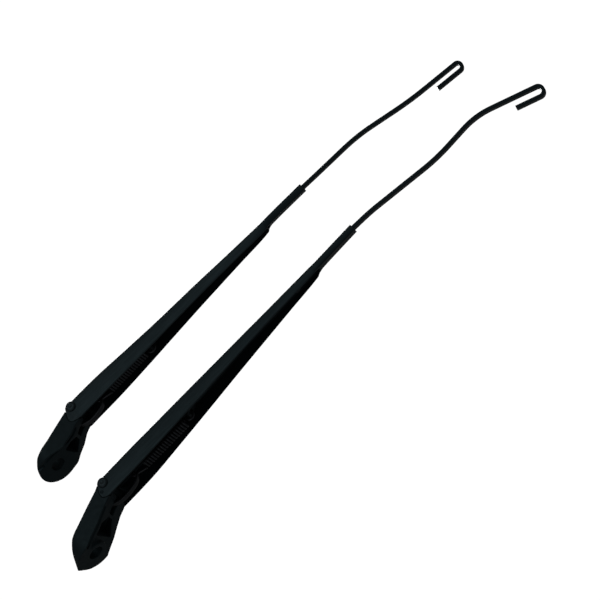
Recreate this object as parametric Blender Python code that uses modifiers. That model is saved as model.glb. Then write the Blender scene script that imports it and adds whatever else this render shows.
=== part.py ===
"""Pair of windshield wiper arms: two cast heads, pressed-steel channels, tension springs and flat hook bars.

Each arm runs along +X from its splined head to its blade hook, with +Z away from the glass and its hinge
axis along Y. The origin is the middle of the passenger head's spindle bore, on its underside. Sizes that
describe the arms are in millimetres; MM turns them into metres as the meshes are made.
"""

import math

import bmesh
import bpy
from mathutils import Matrix, Vector

MM = 0.001

# ---- Sizes that both arms share -------------------------------------------------------------------------

SHEET = 1.2  # wall of the pressed channel
GAP = 0.3  # clearance between neighbouring pieces
BAR_WIDTH, BAR_THICK = 9.0, 3.0  # flat bar of the hook
BAR_EDGE = 0.45  # chamfer along the bar
SLEEVE_WIDTH = BAR_WIDTH + 2 * (SHEET + GAP)
SLEEVE_HEIGHT = BAR_THICK + 2 * (SHEET + GAP)
BAR_DEPTH = SHEET + GAP + BAR_THICK / 2  # from the channel's back to the bar's middle
BACK_ROUND = 2.0  # outside radius along the channel's back
# Rounded end of the cheeks, as angle and reach about the hinge pin: round the rivet, then down to a corner.
CHEEK = [(90, 5.0), (120, 5.0), (150, 5.0), (180, 5.6), (200, 7.0), (215, 9.6), (226, 11.8), (236, 12.6),
         (252, 12.6), (270, 12.6)]
BACK_START = 5.1  # the channel's back begins this far past the hinge pin
RIVET_RADIUS = 3.0
RIVET_HEAD_THICK = 1.5
BUSH_WALL = 0.9
BUSH_FLANGE, BUSH_FLANGE_RADIUS = 0.8, 4.8
BUSH_LENGTH = 4.5
LINK_PIN_RADIUS = 2.0
LINK_WIDTH, LINK_THICK = 4.4, 1.8
EYE_RADIUS = LINK_PIN_RADIUS + GAP + LINK_THICK / 2
SLOT_WIDTH = LINK_WIDTH + 1.4  # opening in the head for the link
BAR_HOLE_RADIUS = 2.3
ROD_RIVET_RADIUS = 1.5
SMOOTH_ANGLE = math.radians(35)

# ---- Driving sizes of each arm ---------------------------------------------------------------------------
# "channel" lists x, middle of the bar above the head's underside, width, height, fold and twist in degrees.
# Fold is 0 where the walls stand straight and 1 where they are folded shut under the bar.

PASSENGER = {
    "name": "passenger",
    "place": (0.0, 0.0, 0.0),
    "bore_radius": 5.6,
    "boss_radius": 17.0,
    "boss_tilt": -8.0,
    "nut_seat_from": 9.8,
    "nut_seat_radius": 11.5,
    "collar": (9.0, 12.5),  # radius and top of the raised face that the nut sits on
    "seat_ring": None,  # the passenger underside is flat past the bore
    "lip": 1.6,  # wall left hanging along the near edge, beside the recessed underside
    "lip_edge": [(-25, 6), (-12.8, 3.2), (-5.5, 1.3), (2.7, 0.0), (9.6, -1.1), (13, -1.2)],
    "nose_reach": 17.05,  # distance from the bore to the head's nose
    "head_side": [(-17, 1), (-14, 4.5), (-8, 8.2), (-1, 10.2), (7, 12.8), (22, 19.0), (33, 23.4),
                  (39, 26), (45.5, 26), (45.5, 12.5), (39, 10.3), (32, 7.6), (25, 3.5), (17.5, 0.8),
                  (12, -2.0), (8, -2.9), (0, -2.9), (-16, -2.9)],
    "head_waist": 34.0,
    "pocket": [(12, -5.5), (19, -7.6), (25, -3.4), (25, 3.0), (17, 8.6)],
    "pocket_top": 11.0,
    "slot_start": 27.6,
    "pivot": (38.6, 22.6),
    "barrel_radius": 5.4,
    "rivet_head_radius": 4.1,
    "channel": [(30.0, 23.6, 20.5, 17.1, 0, 0), (48, 23.6, 20.5, 17.0, 0, 0), (64, 23.3, 20.5, 16.7, 0, 0),
                (103, 21.5, 17.8, 14.5, 0, 0), (134, 20.3, 15.3, 12.5, 0, 0), (171, 19.5, 13.4, 10.6, 0, 2),
                (210, 18.1, 12.4, 8.5, 0, 9), (243, 17.2, 12.1, 7.2, 0, 18),
                (246, 17.5, 12.0, 6.1, 0.35, 22), (250, 17.8, 12.0, 6.0, 1, 25),
                (286.5, 16.9, 12.0, 6.0, 1, 25)],
    "link_pin": (33.2, 14.2),
    "link_dip": [(38.5, 7.4), (43.5, 6.3), (50, 6.8), (56, 8.8)],
    "link_tab": (58.5, 16.5),
    "link_hole": 13.4,
    "spring_axis": 15.2,
    "coil_radius": 3.6,
    "wire_radius": 0.95,
    "coil_from": 68.5,
    "coil_to": 109.0,
    "coil_turns": 17.5,
    "bar_end": (113.4, 14.1),
    "bar_rise": 31.0,
    "bar_hole_from_end": 4.5,
    "rod_bends": [(301, -0.7), (344.5, -2.4), (393, -12.9), (437.7, -18.2)],
    "hook_radius": 3.3,
    "hook_return": 22.5,
    "rod_rivet": 226.0,
}

DRIVER = {
    "name": "driver",
    "place": (-35.7, 127.7, 0.0),
    "bore_radius": 6.3,
    "boss_radius": 18.0,
    "boss_tilt": 4.5,
    "nut_seat_from": 10.0,
    "nut_seat_radius": 12.0,
    "collar": None,
    "seat_ring": (10.5, 7.5),  # radius and height of the ring round the bore
    "lip": 0.0,
    "lip_edge": [],
    "nose_reach": 20.5,
    "head_side": [(-20.5, 0.6), (-17, 4.0), (-11, 10.0), (-5.5, 14.5), (0, 17.1), (6.5, 20.0), (22, 27.3),
                  (34, 32.6), (41, 36.4), (50, 36.4), (50, 24.6), (42, 20.6), (33, 16.8), (25, 12.4),
                  (17.5, 7.9), (7, 3.0), (1, -0.4), (-4, -2.2), (-18, -2.2)],
    "head_waist": 34.0,
    "pocket": [(10.5, -10.0), (20, -9.8), (27, -2.6), (27, 4.0), (16, 10.2)],
    "pocket_top": 18.0,
    "slot_start": 29.6,
    "pivot": (43.4, 32.8),
    "barrel_radius": 5.3,
    "rivet_head_radius": 4.4,
    "channel": [(33.8, 34.5, 29.2, 17.1, 0, 0), (55, 34.6, 29.2, 17.1, 0, 0), (71, 34.8, 29.0, 17.0, 0, 0),
                (111, 35.6, 25.8, 15.5, 0, 0), (144, 36.3, 22.8, 13.9, 0, 0), (176, 36.9, 20.1, 12.0, 0, 0),
                (208, 37.4, 17.5, 10.2, 0, 0), (248, 38.2, 14.4, 8.4, 0, 3), (281, 38.9, 12.4, 7.0, 0, 8),
                (285, 39.2, 12.1, 6.1, 0.35, 13), (290, 39.5, 12.0, 6.0, 1, 18),
                (329, 40.4, 12.0, 6.0, 1, 20)],
    "link_pin": (36.5, 23.6),
    "link_dip": [(41.5, 18.0), (46.5, 16.9), (55, 17.4), (62.5, 19.5)],
    "link_tab": (66.5, 27.8),
    "link_hole": 24.4,
    "spring_axis": 26.3,
    "coil_radius": 3.9,
    "wire_radius": 1.0,
    "coil_from": 76.0,
    "coil_to": 124.0,
    "coil_turns": 18.5,
    "bar_end": (128.8, 27.9),
    "bar_rise": 31.0,
    "bar_hole_from_end": 4.5,
    "rod_bends": [(331, 0.0), (348, -0.8), (415.5, -9.4), (461.5, -7.7), (511.9, -26.9)],
    "hook_radius": 4.4,
    "hook_return": 21.5,
    "rod_rivet": 262.0,
}

# ---- Scene and materials ---------------------------------------------------------------------------------


def clear_scene():
    for obj in list(bpy.data.objects):
        bpy.data.objects.remove(obj, do_unlink=True)


def new_collection(name):
    collection = bpy.data.collections.new(name)
    bpy.context.scene.collection.children.link(collection)
    return collection


def new_material(name, colour, roughness, metallic):
    material = bpy.data.materials.new(name)
    material.use_nodes = True
    shader = material.node_tree.nodes["Principled BSDF"]
    shader.inputs["Base Color"].default_value = (*colour, 1.0)
    shader.inputs["Roughness"].default_value = roughness
    shader.inputs["Metallic"].default_value = metallic
    return material


clear_scene()
PARTS = new_collection("windshield_wiper_assembly")
CUTTERS = new_collection("cutters")
CAST = new_material("cast_black", (0.010, 0.012, 0.014), 0.55, 0.0)
PRESSED = new_material("pressed_black", (0.009, 0.012, 0.014), 0.42, 0.0)
PLATED = new_material("dark_steel", (0.03, 0.032, 0.035), 0.40, 0.8)
BUSHING = new_material("nylon_bush", (0.02, 0.02, 0.02), 0.6, 0.0)

# ---- Mesh helpers ----------------------------------------------------------------------------------------


def add_object(name, mesh, arm, material=None):
    """Put a mesh made in the arm's own frame at the arm's place; without a material it is a cutter."""
    obj = bpy.data.objects.new(name, mesh)
    obj.location = Vector(arm["place"]) * MM
    if material:
        mesh.materials.append(material)
        mesh.shade_smooth()
        mesh.set_sharp_from_angle(angle=SMOOTH_ANGLE)
        PARTS.objects.link(obj)
    else:
        obj.hide_render = True
        obj.display_type = "WIRE"
        CUTTERS.objects.link(obj)
    return obj


def curve_mesh(curve, turn=Matrix.Identity(4)):
    """Mesh of a curve with its caps welded on, turned into the arm's frame."""
    guide = bpy.data.objects.new("guide", curve)
    PARTS.objects.link(guide)
    bpy.context.view_layer.update()
    evaluated = guide.evaluated_get(bpy.context.evaluated_depsgraph_get())
    mesh = bpy.data.meshes.new_from_object(evaluated)
    bpy.data.objects.remove(guide, do_unlink=True)
    bm = bmesh.new()
    bm.from_mesh(mesh)
    bmesh.ops.remove_doubles(bm, verts=bm.verts, dist=1e-6)
    bmesh.ops.recalc_face_normals(bm, faces=bm.faces)
    bm.transform(turn)
    bm.to_mesh(mesh)
    bm.free()
    return mesh


def outline_mesh(points, thickness, turn):
    """A closed flat outline in mm, filled and given a thickness about its own plane."""
    curve = bpy.data.curves.new("outline", "CURVE")
    curve.dimensions = "2D"
    curve.fill_mode = "BOTH"
    curve.extrude = thickness / 2 * MM
    spline = curve.splines.new("POLY")
    spline.points.add(len(points) - 1)
    for point, (across, up) in zip(spline.points, points):
        point.co = (across * MM, up * MM, 0.0, 1.0)
    spline.use_cyclic_u = True
    return curve_mesh(curve, turn)


def side_plate(points, thickness, middle=0.0):
    """An outline drawn in the arm's side view (x, z), centred on y = middle."""
    turn = Matrix.Translation((0, middle * MM, 0)) @ Matrix.Rotation(math.radians(90), 4, "X")
    return outline_mesh(points, thickness, turn)


def plan_plate(points, bottom, top):
    """An outline drawn in plan (x, y), from one height to another."""
    turn = Matrix.Translation((0, 0, (bottom + top) / 2 * MM))
    return outline_mesh(points, top - bottom, turn)


def polar(centre, angle, reach):
    turn = math.radians(angle)
    return (centre[0] + reach * math.cos(turn), centre[1] + reach * math.sin(turn))


def cylinder_mesh(radius, length, turn, sides=32):
    """A capped cylinder about the turn's own Z axis, centred on it."""
    bm = bmesh.new()
    bmesh.ops.create_cone(bm, cap_ends=True, segments=sides, radius1=radius * MM, radius2=radius * MM,
                          depth=length * MM, matrix=turn)
    mesh = bpy.data.meshes.new("cylinder")
    bm.to_mesh(mesh)
    bm.free()
    return mesh


def cross_turn(x, z, y=0.0):
    """Places a Z-axis shape across the arm, along Y, at x and z."""
    return Matrix.Translation(Vector((x, y, z)) * MM) @ Matrix.Rotation(math.radians(-90), 4, "X")


def boolean(obj, operation, cutter):
    modifier = obj.modifiers.new(cutter.name, "BOOLEAN")
    modifier.operation = operation
    modifier.solver = "EXACT"
    modifier.object = cutter


def cut(obj, name, mesh, arm):
    boolean(obj, "DIFFERENCE", add_object(name, mesh, arm))


def join(obj, name, mesh, arm):
    boolean(obj, "UNION", add_object(name, mesh, arm))


def loft_mesh(sections):
    """A solid through closed sections of equal point counts, with flat ends."""
    bm = bmesh.new()
    rings = [[bm.verts.new(Vector(point) * MM) for point in section] for section in sections]
    for ring, following in zip(rings, rings[1:]):
        for i, vert in enumerate(ring):
            j = (i + 1) % len(ring)
            bm.faces.new((vert, ring[j], following[j], following[i]))
    bm.faces.new(rings[0])
    bm.faces.new(rings[-1])
    bmesh.ops.recalc_face_normals(bm, faces=bm.faces)
    mesh = bpy.data.meshes.new("loft")
    bm.to_mesh(mesh)
    bm.free()
    return mesh


def arc(centre, radius, start, end, steps):
    """Points on a circle in a plane, from one angle in degrees to another."""
    angles = [math.radians(start + (end - start) * k / steps) for k in range(steps + 1)]
    return [(centre[0] + radius * math.cos(a), centre[1] + radius * math.sin(a)) for a in angles]


def smooth_path(points, steps):
    """A Catmull-Rom curve through the points, with its ends kept."""
    padded = [points[0], *points, points[-1]]
    out = []
    for a, b, c, d in zip(padded, padded[1:], padded[2:], padded[3:]):
        for k in range(steps):
            t = k / steps
            out.append(tuple(
                0.5 * (2 * q + (r - p) * t + (2 * p - 5 * q + 4 * r - s) * t * t
                       + (3 * q - p - 3 * r + s) * t ** 3)
                for p, q, r, s in zip(a, b, c, d)))
    return out + [points[-1]]


def strip_sections(path, width, thick, edge, place):
    """Sections of a flat strip that follows a path in its bending plane; place maps x, across, up."""
    half_w, half_t = width / 2, thick / 2
    profile = [(-half_w + edge, half_t), (half_w - edge, half_t), (half_w, half_t - edge),
               (half_w, edge - half_t), (half_w - edge, -half_t), (edge - half_w, -half_t),
               (-half_w, edge - half_t), (-half_w, half_t - edge)]
    sections = []
    for i, (x, up) in enumerate(path):
        before, after = path[max(i - 1, 0)], path[min(i + 1, len(path) - 1)]
        along = Vector((after[0] - before[0], after[1] - before[1])).normalized()
        sections.append([place(x - along.y * t, across, up + along.x * t) for across, t in profile])
    return sections


# ---- Shape of an arm along its length --------------------------------------------------------------------


def station(arm, x):
    """Bar height, width, height, fold and twist of the channel at x, read between its stations."""
    rows = arm["channel"]
    if x <= rows[0][0]:
        return rows[0][1:]
    for low, high in zip(rows, rows[1:]):
        if x <= high[0]:
            share = (x - low[0]) / (high[0] - low[0])
            return tuple(a + (b - a) * share for a, b in zip(low[1:], high[1:]))
    return rows[-1][1:]


def arm_point(arm, x, across, up):
    """A point beside the bar's middle line, turned with the twist of the arm at x."""
    bar_height, _, _, _, twist = station(arm, x)
    turn = math.radians(twist)
    return (x, across * math.cos(turn) - up * math.sin(turn),
            bar_height + across * math.sin(turn) + up * math.cos(turn))


def channel_section(arm, x):
    """Closed outline of the pressed channel at x: outer face, then inner face."""
    _, width, height, fold, _ = station(arm, x)
    half, top, bottom = width / 2, BAR_DEPTH, BAR_DEPTH - height
    tuck = fold * (half - 0.4)  # how far each wall is folded in under the bar

    def face(inset):
        side, ceiling, floor = half - inset, top - inset, bottom + inset * fold
        radius = BACK_ROUND - inset * 0.8
        corner = arc((side - radius, ceiling - radius), radius, 0, 90, 3)
        wall = [(max(side - tuck, 0.4), floor), (side - 0.6 * fold, floor), (side, floor + 0.6 * fold + 0.4)]
        right = wall + corner
        return right + [(-across, up) for across, up in reversed(right)]

    outline = face(0.0) + face(SHEET)[::-1]
    return [arm_point(arm, x, across, up) for across, up in outline]


def rod_path(arm):
    """Middle line of the flat bar in its bending plane: x and distance from the channel's bar line."""
    end_x, end_z = arm["bar_end"]
    rise = math.tan(math.radians(arm["bar_rise"]))
    start_up = end_z - station(arm, end_x)[0]
    level_x = end_x - start_up / rise
    first_x, first_up = arm["rod_bends"][0]
    sleeve_end = arm["channel"][-1][0]
    inner = [(end_x, start_up), (end_x + 3, start_up + 3 * rise), (level_x - 3.5, -3.0 * rise),
             (level_x - 0.5, -0.9), (level_x + 3, 0.0)]
    inside = [(x, 0.0) for x in spaced(level_x + 10, sleeve_end, 9.0)]
    outer = bent(arm["rod_bends"], 14.0, 4)
    hook_x, hook_up = outer[-1]
    before_x, before_up = outer[-2]
    lean = math.degrees(math.atan2(hook_up - before_up, hook_x - before_x))
    radius = arm["hook_radius"]
    turn = math.radians(lean)
    centre = (hook_x + radius * math.sin(turn), hook_up - radius * math.cos(turn))
    bend = arc(centre, radius, 90 + lean, lean - 90, 10)
    tail_x, tail_up = bend[-1]
    length = arm["hook_return"]
    tail = [(tail_x - length * s * math.cos(turn), tail_up - length * s * math.sin(turn)) for s in (0.5, 1)]
    start = [(first_x, first_up)] if first_x > inside[-1][0] + 4 else []
    return inner + inside + start + outer[1:-1] + bend + tail


def spaced(start, end, step):
    count = max(2, round((end - start) / step) + 1)
    return [start + (end - start) * k / (count - 1) for k in range(count)]


def bent(points, radius, steps):
    """A line through points with every inner corner rounded by an arc of the given reach."""
    out = [points[0]]
    for before, here, after in zip(points, points[1:], points[2:]):
        a, b, c = Vector(before), Vector(here), Vector(after)
        reach = min(radius, (b - a).length * 0.45, (c - b).length * 0.45)
        start, end = b + (a - b).normalized() * reach, b + (c - b).normalized() * reach
        for k in range(steps + 1):
            t = k / steps
            out.append(tuple(start * (1 - t) ** 2 + b * 2 * t * (1 - t) + end * t * t))
    return out + [points[-1]]


# ---- The pieces of an arm --------------------------------------------------------------------------------


def head_width(arm):
    return arm["channel"][0][2]


def tongue_width(arm):
    """Width of the head between the two bush flanges."""
    return head_width(arm) - 2 * (SHEET + BUSH_FLANGE + 2 * GAP)


def underside_mesh(arm, tilt):
    """Everything below the seat: inside the near edge's lip, if any, and past the head elsewhere."""
    radius, half, waist = arm["boss_radius"], head_width(arm) / 2, arm["head_waist"]
    if not arm["lip"]:
        return cylinder_mesh(radius + 6, 40, tilt @ Matrix.Translation((0, 0, -20 * MM)), 40)
    near = arc((0, 0), radius - arm["lip"], 221, 282, 12)
    far = arc((0, 0), radius + 6, 90, 221, 16)
    mesh = plan_plate(near + [(waist, arm["lip"] - half), (waist, radius + 6)] + far[:-1], -40, 0)
    mesh.transform(tilt)
    return mesh


def make_head(arm):
    """Die-cast head: side outline cut to its plan, with tilted boss, tongue, barrel, pocket and slots."""
    name = arm["name"]
    pivot_x, pivot_z = arm["pivot"]
    half = head_width(arm) / 2
    radius = arm["boss_radius"]
    waist = arm["head_waist"]
    head = add_object(f"{name}_head", side_plate(arm["head_side"], 2 * radius + 8), arm, CAST)

    tangent = math.degrees(math.acos((radius - half) / waist))
    taper = math.degrees(math.acos(radius / arm["nose_reach"]))
    nose = arc((0, 0), radius, tangent, 180 - taper, 14)
    if taper > 0:
        nose.append((-arm["nose_reach"], 0.0))
    nose += arc((0, 0), radius, 180 + taper, 360 - tangent, 14)
    plan = [(pivot_x + 12, -half), (pivot_x + 12, half), (waist, half), *nose, (waist, -half)]
    boolean(head, "INTERSECT", add_object(f"{name}_plan", plan_plate(plan, -12, 60), arm))
    edges = head.modifiers.new("rounded_edges", "BEVEL")
    edges.width = 1.4 * MM
    edges.segments = 2
    edges.limit_method = "ANGLE"
    edges.angle_limit = math.radians(40)

    tilt = Matrix.Rotation(math.radians(arm["boss_tilt"]), 4, "X")
    cut(head, f"{name}_underside", underside_mesh(arm, tilt), arm)
    if arm["lip_edge"]:
        first, last = arm["lip_edge"][0][0], arm["lip_edge"][-1][0]
        below = [(first, -12), *arm["lip_edge"], (last, -12)]
        cut(head, f"{name}_lip_edge", side_plate(below, radius, -radius - 1), arm)
    if arm["seat_ring"]:
        ring_radius, ring_height = arm["seat_ring"]
        ring = tilt @ Matrix.Translation((0, 0, ring_height / 2 * MM))
        join(head, f"{name}_seat_ring", cylinder_mesh(ring_radius, ring_height, ring, 36), arm)

    barrel = cylinder_mesh(arm["barrel_radius"], tongue_width(arm), cross_turn(pivot_x, pivot_z))
    side_cut = [(pivot_x + 20, pivot_z + 20), (pivot_x, pivot_z + 20),
                *[polar(arm["pivot"], angle, reach + GAP + 0.1) for angle, reach in CHEEK],
                (pivot_x, pivot_z - 25), (pivot_x + 20, pivot_z - 25)]
    depth = half - tongue_width(arm) / 2
    for side, sign in (("near", -1), ("far", 1)):
        middle = sign * (tongue_width(arm) / 2 + (depth + 4) / 2)
        cut(head, f"{name}_cheek_seat_{side}", side_plate(side_cut, depth + 4, middle), arm)
    front = [(pivot_x, pivot_z + 15), (pivot_x + 20, pivot_z + 15), (pivot_x + 20, pivot_z - 25),
             (pivot_x, pivot_z - 25)]
    cut(head, f"{name}_tongue_end", side_plate(front, head_width(arm) + 6), arm)
    join(head, f"{name}_barrel", barrel, arm)

    behind = [(arm["slot_start"], -20), (arm["slot_start"], 60),
              (pivot_x - arm["barrel_radius"] - 0.2, 60), (pivot_x - arm["barrel_radius"] - 0.2, pivot_z),
              *arc((pivot_x, pivot_z), arm["barrel_radius"] + 0.2, 180, 270, 6)[1:],
              (pivot_x + 9, pivot_z - arm["barrel_radius"] - 0.2), (pivot_x + 9, -20)]
    cut(head, f"{name}_link_slot", side_plate(behind, SLOT_WIDTH), arm)
    cut(head, f"{name}_pocket", plan_plate(arm["pocket"], -12, arm["pocket_top"]), arm)
    hole = cylinder_mesh(RIVET_RADIUS + GAP + BUSH_WALL + GAP, 60, cross_turn(pivot_x, pivot_z))
    cut(head, f"{name}_barrel_hole", hole, arm)
    pin_hole = cylinder_mesh(LINK_PIN_RADIUS + GAP, tongue_width(arm) - 3, cross_turn(*arm["link_pin"]), 20)
    cut(head, f"{name}_link_pin_hole", pin_hole, arm)
    seat = tilt @ Matrix.Translation((0, 0, (arm["nut_seat_from"] + 20) * MM))
    cut(head, f"{name}_nut_seat", cylinder_mesh(arm["nut_seat_radius"], 40, seat, 36), arm)
    if arm["collar"]:
        collar_radius, top = arm["collar"]
        collar = tilt @ Matrix.Translation((0, 0, (top - 3) * MM))
        join(head, f"{name}_collar", cylinder_mesh(collar_radius, 6, collar, 36), arm)
    cut(head, f"{name}_bore", cylinder_mesh(arm["bore_radius"], 80, tilt, 36), arm)


def make_channel(arm):
    """Pressed-steel channel, its walls rounded into cheeks at the hinge and folded shut round the bar."""
    name = arm["name"]
    pivot_x, pivot_z = arm["pivot"]
    sections = [channel_section(arm, row[0]) for row in arm["channel"]]
    channel = add_object(f"{name}_channel", loft_mesh(sections), arm, PRESSED)
    inner = head_width(arm) - 2 * SHEET + 0.02
    back = [(pivot_x - 14, pivot_z + 1.0), (pivot_x + BACK_START, pivot_z + 1.0),
            (pivot_x + BACK_START, pivot_z + 14), (pivot_x - 14, pivot_z + 14)]
    cut(channel, f"{name}_back_gap", side_plate(back, inner), arm)
    round_end = [(pivot_x, pivot_z + 20), (pivot_x - 16, pivot_z + 20), (pivot_x - 16, pivot_z - 20),
                 (pivot_x, pivot_z - 20), *[polar(arm["pivot"], *end) for end in CHEEK[::-1]]]
    cut(channel, f"{name}_cheek_round", side_plate(round_end, head_width(arm) + 10), arm)
    hole = cylinder_mesh(RIVET_RADIUS + GAP, 60, cross_turn(pivot_x, pivot_z))
    cut(channel, f"{name}_rivet_holes", hole, arm)
    cut(channel, f"{name}_rod_rivet_hole", rod_rivet_hole(arm), arm)


def rod_rivet_turn(arm):
    """Places a Z-axis shape on the bar's middle line at the rod rivet, square to the bar."""
    bar_height, _, _, _, twist = station(arm, arm["rod_rivet"])
    middle = Vector((arm["rod_rivet"], 0, bar_height)) * MM
    return Matrix.Translation(middle) @ Matrix.Rotation(math.radians(twist), 4, "X")


def rod_rivet_hole(arm):
    return cylinder_mesh(ROD_RIVET_RADIUS + GAP, 14, rod_rivet_turn(arm), 16)


def make_rod(arm):
    """Flat bar from its drilled inner end, through the sleeve and the bends, to the blade hook."""
    name = arm["name"]
    sections = strip_sections(rod_path(arm), BAR_WIDTH, BAR_THICK, BAR_EDGE,
                              lambda x, across, up: arm_point(arm, x, across, up))
    rod = add_object(f"{name}_rod", loft_mesh(sections), arm, PRESSED)
    rise = math.radians(arm["bar_rise"])
    hole_x, hole_z = bar_hole(arm)
    turn = Matrix.Translation(Vector((hole_x, 0, hole_z)) * MM) @ Matrix.Rotation(-rise, 4, "Y")
    cut(rod, f"{name}_spring_hole", cylinder_mesh(BAR_HOLE_RADIUS, 12, turn, 20), arm)
    cut(rod, f"{name}_rod_rivet_seat", rod_rivet_hole(arm), arm)


def bar_hole(arm):
    """Middle of the hole in the bar's inner end, which takes the spring's upper hook."""
    rise = math.radians(arm["bar_rise"])
    reach = arm["bar_hole_from_end"]
    return (arm["bar_end"][0] + reach * math.cos(rise), arm["bar_end"][1] + reach * math.sin(rise))


def turned(name, arm, profile, turn, material, sides=24):
    """A turned piece: its profile (radius, height), outer side from top to bottom, round its own Z axis."""
    mesh = bpy.data.meshes.new(name)
    points = [(radius * MM, 0, height * MM) for radius, height in profile]
    mesh.from_pydata(points, [(i, i + 1) for i in range(len(points) - 1)], [])
    obj = add_object(name, mesh, arm, material)
    obj.matrix_world = Matrix.Translation(Vector(arm["place"]) * MM) @ turn
    screw = obj.modifiers.new("turned", "SCREW")
    screw.axis = "Z"
    screw.steps = screw.render_steps = sides
    screw.use_merge_vertices = True
    screw.merge_threshold = 1e-5
    screw.use_smooth_shade = True


def make_hinge(arm):
    """Hinge rivet with two domed heads, and the two flanged bushes it turns in."""
    name = arm["name"]
    turn = cross_turn(*arm["pivot"])
    outside = head_width(arm) / 2 + GAP
    head_radius = arm["rivet_head_radius"]
    dome = [(head_radius * math.cos(a), outside + 0.4 + (RIVET_HEAD_THICK - 0.4) * math.sin(a))
            for a in [math.radians(d) for d in (90, 65, 40, 15, 0)]]
    dome[0] = (0.0, dome[0][1])
    half = [*dome, (head_radius, outside), (RIVET_RADIUS, outside)]
    profile = half + [(radius, -height) for radius, height in reversed(half)]
    turned(f"{name}_hinge_rivet", arm, profile, turn, PLATED)

    inner, outer = RIVET_RADIUS + GAP, RIVET_RADIUS + GAP + BUSH_WALL
    seat = tongue_width(arm) / 2 + GAP
    for side, sign in (("near", 1), ("far", -1)):
        ring = [(inner, seat + BUSH_FLANGE), (BUSH_FLANGE_RADIUS, seat + BUSH_FLANGE),
                (BUSH_FLANGE_RADIUS, seat), (outer, seat), (outer, seat - BUSH_LENGTH),
                (inner, seat - BUSH_LENGTH),
                (inner, seat + BUSH_FLANGE)]
        flip = Matrix.Rotation(math.pi if sign > 0 else 0, 4, "X")
        turned(f"{name}_hinge_bush_{side}", arm, ring, turn @ flip, BUSHING)


def make_link(arm):
    """Link pin, and the C-shaped strip link curled round it at one end and drilled at the other."""
    name = arm["name"]
    pin = cylinder_mesh(LINK_PIN_RADIUS, tongue_width(arm) - 3.6, cross_turn(*arm["link_pin"]), 20)
    add_object(f"{name}_link_pin", pin, arm, PLATED)
    eye = arc(arm["link_pin"], EYE_RADIUS, 20, 255, 12)
    tab_x, tab_z = arm["link_tab"]
    dip = [eye[-1], *arm["link_dip"], (tab_x, arm["link_hole"] - 1.2)]
    path = eye[:-1] + smooth_path(dip, 4) + [(tab_x, arm["link_hole"] + 1.2), (tab_x, tab_z)]
    sections = strip_sections(path, LINK_WIDTH, LINK_THICK, 0.3, lambda x, across, up: (x, across, up))
    link = add_object(f"{name}_spring_link", loft_mesh(sections), arm, PLATED)
    tab = Vector((tab_x, 0, arm["link_hole"])) * MM
    turn = Matrix.Translation(tab) @ Matrix.Rotation(math.pi / 2, 4, "Y")
    cut(link, f"{name}_link_tab_hole", cylinder_mesh(arm["wire_radius"] + GAP, 8, turn, 16), arm)


def spring_path(arm):
    """Middle line of the spring wire: lower loop, coils and upper hook."""
    tab_x, hole_z = arm["link_tab"][0], arm["link_hole"]
    axis, coil = arm["spring_axis"], arm["coil_radius"]
    loop_radius = (arm["link_tab"][1] + arm["wire_radius"] + 0.7 - hole_z) / 2
    loop = arc((tab_x, hole_z + loop_radius), loop_radius, 60, 270, 10)
    lower = [(x, 0.0, z) for x, z in loop] + [(tab_x + 2.5, 0.0, hole_z - 0.2)]
    start, end, turns = arm["coil_from"], arm["coil_to"], arm["coil_turns"]
    count = round(turns * 10)
    coils = []
    for k in range(count + 1):
        share = k / count
        angle = -math.pi / 2 + 2 * math.pi * turns * share
        coils.append((start + (end - start) * share, coil * math.cos(angle), axis + coil * math.sin(angle)))
    hole_x, hole_top = bar_hole(arm)
    left = end + arm["wire_radius"] + 1.0
    right = hole_x + 1.0
    radius = (right - left) / 2
    middle = (left + radius, hole_top - 2.2)
    hook = [(x, 0.0, z) for x, z in arc(middle, radius, 180, 350, 10)]
    rise = math.radians(arm["bar_rise"])
    exits = [(hole_x - reach * math.sin(rise), 0.0, hole_top + reach * math.cos(rise)) for reach in (0, 2.2)]
    return lower + coils + hook + exits


def make_spring(arm):
    curve = bpy.data.curves.new("wire", "CURVE")
    curve.dimensions = "3D"
    curve.bevel_depth = arm["wire_radius"] * MM
    curve.bevel_resolution = 2
    curve.render_resolution_u = 0
    curve.use_fill_caps = True
    points = spring_path(arm)
    spline = curve.splines.new("POLY")
    spline.points.add(len(points) - 1)
    for point, place in zip(spline.points, points):
        point.co = (*(Vector(place) * MM), 1.0)
    add_object(f"{arm['name']}_spring", curve_mesh(curve), arm, PLATED)


def make_rod_rivet(arm):
    """Rivet that holds the bar to the channel's back, ahead of the crimped sleeve."""
    top, under = BAR_DEPTH + GAP, -BAR_THICK / 2 - GAP
    profile = [(0, top + 0.9), (1.6, top + 0.75), (2.6, top + 0.2), (2.6, top), (ROD_RIVET_RADIUS, top),
               (ROD_RIVET_RADIUS, under), (2.4, under), (2.4, under - 0.3), (1.2, under - 0.8),
               (0, under - 0.8)]
    turned(f"{arm['name']}_rod_rivet", arm, profile, rod_rivet_turn(arm), PLATED, 20)


def make_arm(arm):
    make_head(arm)
    make_channel(arm)
    make_rod(arm)
    make_hinge(arm)
    make_link(arm)
    make_spring(arm)
    make_rod_rivet(arm)


for wiper in (PASSENGER, DRIVER):
    make_arm(wiper)
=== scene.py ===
"""Looks of the wiper arm pair: cast heads, pressed channels, flat bars, springs and fittings in fine detail.

Everything is in the part's own frame: +X along the arms, +Z away from the glass. Sizes that describe the
arms are in millimetres, in each arm's own frame, and MM turns them into metres as the meshes are made.
"""

import math

import bmesh
import bpy
from mathutils import Matrix, Vector


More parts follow.
